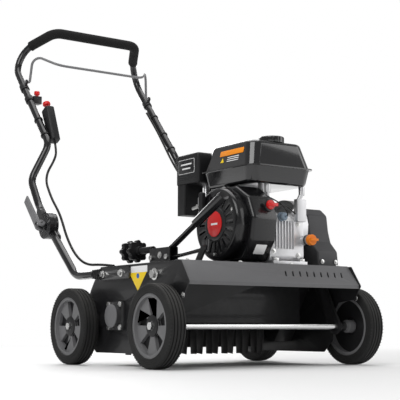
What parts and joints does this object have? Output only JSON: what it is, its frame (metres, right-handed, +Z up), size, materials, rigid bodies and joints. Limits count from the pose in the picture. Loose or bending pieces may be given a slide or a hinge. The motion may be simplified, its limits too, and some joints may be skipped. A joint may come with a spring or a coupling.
{
  "type": "petrol lawn scarifier",
  "caption": "Petrol lawn scarifier: wheeled steel deck with bladed rotor, small engine, belt drive, lift lever, depth knob and folding push handle with bail.",
  "frame": {"origin": "on the ground, under the middle of the whole machine", "axes": "front faces -Y, +X is the right side seen from the front, +Z is up"},
  "size_m": [0.654, 1.0897, 1.0446],
  "materials": {
    "plate_paint": "satin",
    "hood_paint": "powder coat",
    "cover_paint": "powder coat",
    "zinc_steel": "zinc plated",
    "bright_axle": "bright",
    "cast_black": "painted casting",
    "belt_rubber": "matte",
    "cast_aluminium": "cast",
    "engine_black": "semi-gloss",
    "tank_gloss": "gloss",
    "cleaner_plastic": "satin",
    "tube_gloss": "gloss",
    "cable_sheath": "satin",
    "rotor_steel": "machined",
    "orange_plastic": "satin",
    "red_plastic": "gloss",
    "knob_plastic": "satin",
    "flap_rubber": "matte",
    "grip_foam": "foam",
    "bail_grey": "satin",
    "lever_grey": "satin",
    "tyre_rubber": "matte",
    "rim_grey": "satin"
  },
  "bodies": {
    "chassis": {"side_plate_left": "plate_paint", "side_plate_right": "plate_paint", "deck_plate": "plate_paint", "front_hood": "hood_paint", "inner_baffle": "plate_paint", "belt_lower_guard": "plate_paint", "rear_axle": "zinc_steel", "rotor_bearings": "cast_black", "drive_belt": "belt_rubber", "belt_cover": "cover_paint", "crankcase": "cast_aluminium", "cylinder_head": "cast_aluminium", "fan_shroud": "engine_black", "recoil_cover": "engine_black", "fuel_tank_top": "tank_gloss", "fuel_tank_base": "tank_gloss", "tank_posts": "cast_aluminium", "air_cleaner_lid": "cleaner_plastic", "air_cleaner_base": "cleaner_plastic", "carburettor": "cast_aluminium", "muffler": "engine_black", "lower_handles": "tube_gloss", "control_cables_lower": "cable_sheath", "lift_bracket": "plate_paint", "fasteners": "zinc_steel"},
    "yoke": {"front_yoke": "plate_paint", "front_axle": "bright_axle"},
    "wheel_front_left": {"tyre_front_left": "tyre_rubber", "rim_front_left": "rim_grey"},
    "wheel_front_right": {"tyre_front_right": "tyre_rubber", "rim_front_right": "rim_grey"},
    "wheel_rear_left": {"tyre_rear_left": "tyre_rubber", "rim_rear_left": "rim_grey"},
    "wheel_rear_right": {"tyre_rear_right": "tyre_rubber", "rim_rear_right": "rim_grey"},
    "rotor": {"rotor_shaft": "rotor_steel", "rotor_blades": "cast_black"},
    "crank": {"crankshaft": "rotor_steel", "flywheel_fan": "cast_aluminium"},
    "idler": {"belt_idler": "rotor_steel"},
    "pull_grip": {"recoil_grip": "cleaner_plastic"},
    "tank_cap": {"fuel_cap": "tank_gloss"},
    "dipstick": {"oil_dipstick": "orange_plastic"},
    "ignition": {"engine_switch": "red_plastic"},
    "choke": {"choke_lever": "zinc_steel"},
    "fuel_valve": {"fuel_valve_lever": "zinc_steel"},
    "lever": {"lift_lever": "tube_gloss"},
    "link": {"link_rod": "tube_gloss"},
    "knob": {"depth_knob": "knob_plastic"},
    "flap": {"rear_flap": "flap_rubber"},
    "handle": {"upper_handle": "tube_gloss", "foam_grip": "grip_foam", "handle_brackets": "plate_paint", "control_box": "cleaner_plastic", "control_cables_upper": "cable_sheath"},
    "bail_rod": {"bail": "bail_grey"},
    "throttle": {"throttle_knob": "red_plastic"},
    "stop": {"stop_button": "red_plastic"},
    "cam_left": {"fold_lever_left": "lever_grey"},
    "cam_right": {"fold_lever_right": "lever_grey"}
  },
  "joints": [
    {"name": "yoke_swing", "type": "hinge", "parent": "chassis", "child": "yoke", "pos_m": [0, -0.378, 0.225], "axis": [-1, 0, 0], "range_deg": [0, 20]},
    {"name": "wheel_front_left_spin", "type": "hinge", "parent": "yoke", "child": "wheel_front_left", "pos_m": [-0.3055, -0.445, 0.1], "axis": [1, 0, 0], "continuous": true},
    {"name": "wheel_front_right_spin", "type": "hinge", "parent": "yoke", "child": "wheel_front_right", "pos_m": [0.3055, -0.445, 0.1], "axis": [1, 0, 0], "continuous": true},
    {"name": "wheel_rear_left_spin", "type": "hinge", "parent": "chassis", "child": "wheel_rear_left", "pos_m": [-0.3055, -0.035, 0.1], "axis": [1, 0, 0], "continuous": true},
    {"name": "wheel_rear_right_spin", "type": "hinge", "parent": "chassis", "child": "wheel_rear_right", "pos_m": [0.3055, -0.035, 0.1], "axis": [1, 0, 0], "continuous": true},
    {"name": "rotor_spin", "type": "hinge", "parent": "chassis", "child": "rotor", "pos_m": [0, -0.2, 0.126], "axis": [1, 0, 0], "continuous": true},
    {"name": "crank_spin", "type": "hinge", "parent": "chassis", "child": "crank", "pos_m": [0, -0.35, 0.359], "axis": [1, 0, 0], "continuous": true},
    {"name": "idler_swing", "type": "hinge", "parent": "chassis", "child": "idler", "pos_m": [0.24, -0.128, 0.19], "axis": [1, 0, 0], "range_deg": [0, 8]},
    {"name": "recoil_pull", "type": "slide", "parent": "chassis", "child": "pull_grip", "axis": [-1, 0, 0], "range_m": [0, 0.3], "stiffness_N_per_m": 20, "springref_m": -0.05},
    {"name": "fuel_cap_turn", "type": "hinge", "parent": "chassis", "child": "tank_cap", "pos_m": [0.092, -0.38, 0.58], "axis": [0, 0, 1], "range_deg": [0, 90]},
    {"name": "dipstick_turn", "type": "hinge", "parent": "chassis", "child": "dipstick", "pos_m": [0.152, -0.46, 0.321], "axis": [0, -1, 0], "range_deg": [0, 720]},
    {"name": "engine_switch_turn", "type": "hinge", "parent": "chassis", "child": "ignition", "pos_m": [0.021, -0.459, 0.404], "axis": [0, -1, 0], "range_deg": [0, 60]},
    {"name": "choke_turn", "type": "hinge", "parent": "chassis", "child": "choke", "pos_m": [-0.004, -0.194, 0.439], "axis": [-1, 0, 0], "range_deg": [0, 40]},
    {"name": "fuel_valve_turn", "type": "hinge", "parent": "chassis", "child": "fuel_valve", "pos_m": [-0.006, -0.18, 0.425], "axis": [1, 0, 0], "range_deg": [0, 60]},
    {"name": "lift_lever_turn", "type": "hinge", "parent": "chassis", "child": "lever", "pos_m": [-0.15, -0.234, 0.283], "axis": [-1, 0, 0], "range_deg": [0, 80]},
    {"name": "link_slide", "type": "slide", "parent": "chassis", "child": "link", "axis": [0, 0.9972, -0.0754], "range_m": [0, 0.026]},
    {"name": "depth_knob_turn", "type": "hinge", "parent": "chassis", "child": "knob", "pos_m": [-0.15, -0.09, 0.301], "axis": [0, 1, 0], "range_deg": [-720, 720]},
    {"name": "rear_flap_swing", "type": "hinge", "parent": "chassis", "child": "flap", "pos_m": [0, -0.066, 0.183], "axis": [1, 0, 0], "range_deg": [-8, 8]},
    {"name": "handle_fold", "type": "hinge", "parent": "chassis", "child": "handle", "pos_m": [0, 0.166, 0.384], "axis": [1, 0, 0], "range_deg": [-15, 75]},
    {"name": "bail_squeeze", "type": "hinge", "parent": "handle", "child": "bail_rod", "pos_m": [0, 0.459, 0.866], "axis": [-1, 0, 0], "range_deg": [0, 30], "stiffness_Nm_per_rad": 0.8, "springref_deg": -40.11},
    {"name": "throttle_pull", "type": "slide", "parent": "handle", "child": "throttle", "axis": [0, 0.4311, 0.9023], "range_m": [0, 0.012]},
    {"name": "stop_press", "type": "slide", "parent": "handle", "child": "stop", "axis": [0, 0, -1], "range_m": [0, 0.004], "stiffness_N_per_m": 800, "springref_m": -0.002},
    {"name": "fold_lever_left_turn", "type": "hinge", "parent": "chassis", "child": "cam_left", "pos_m": [-0.31185, 0.166, 0.384], "axis": [0, -0.7071, 0.7071], "range_deg": [0, 100]},
    {"name": "fold_lever_right_turn", "type": "hinge", "parent": "chassis", "child": "cam_right", "pos_m": [0.31185, 0.166, 0.384], "axis": [0, 0.7071, -0.7071], "range_deg": [0, 100]}
  ],
  "couplings": [
    {"joint": "yoke_swing", "follows": "lift_lever_turn", "ratio": 0.25},
    {"joint": "link_slide", "follows": "lift_lever_turn", "m_per_rad": 0.0175},
    {"joint": "crank_spin", "follows": "rotor_spin", "ratio": 1.25},
    {"joint": "idler_swing", "follows": "bail_squeeze", "ratio": 0.2666}
  ]
}
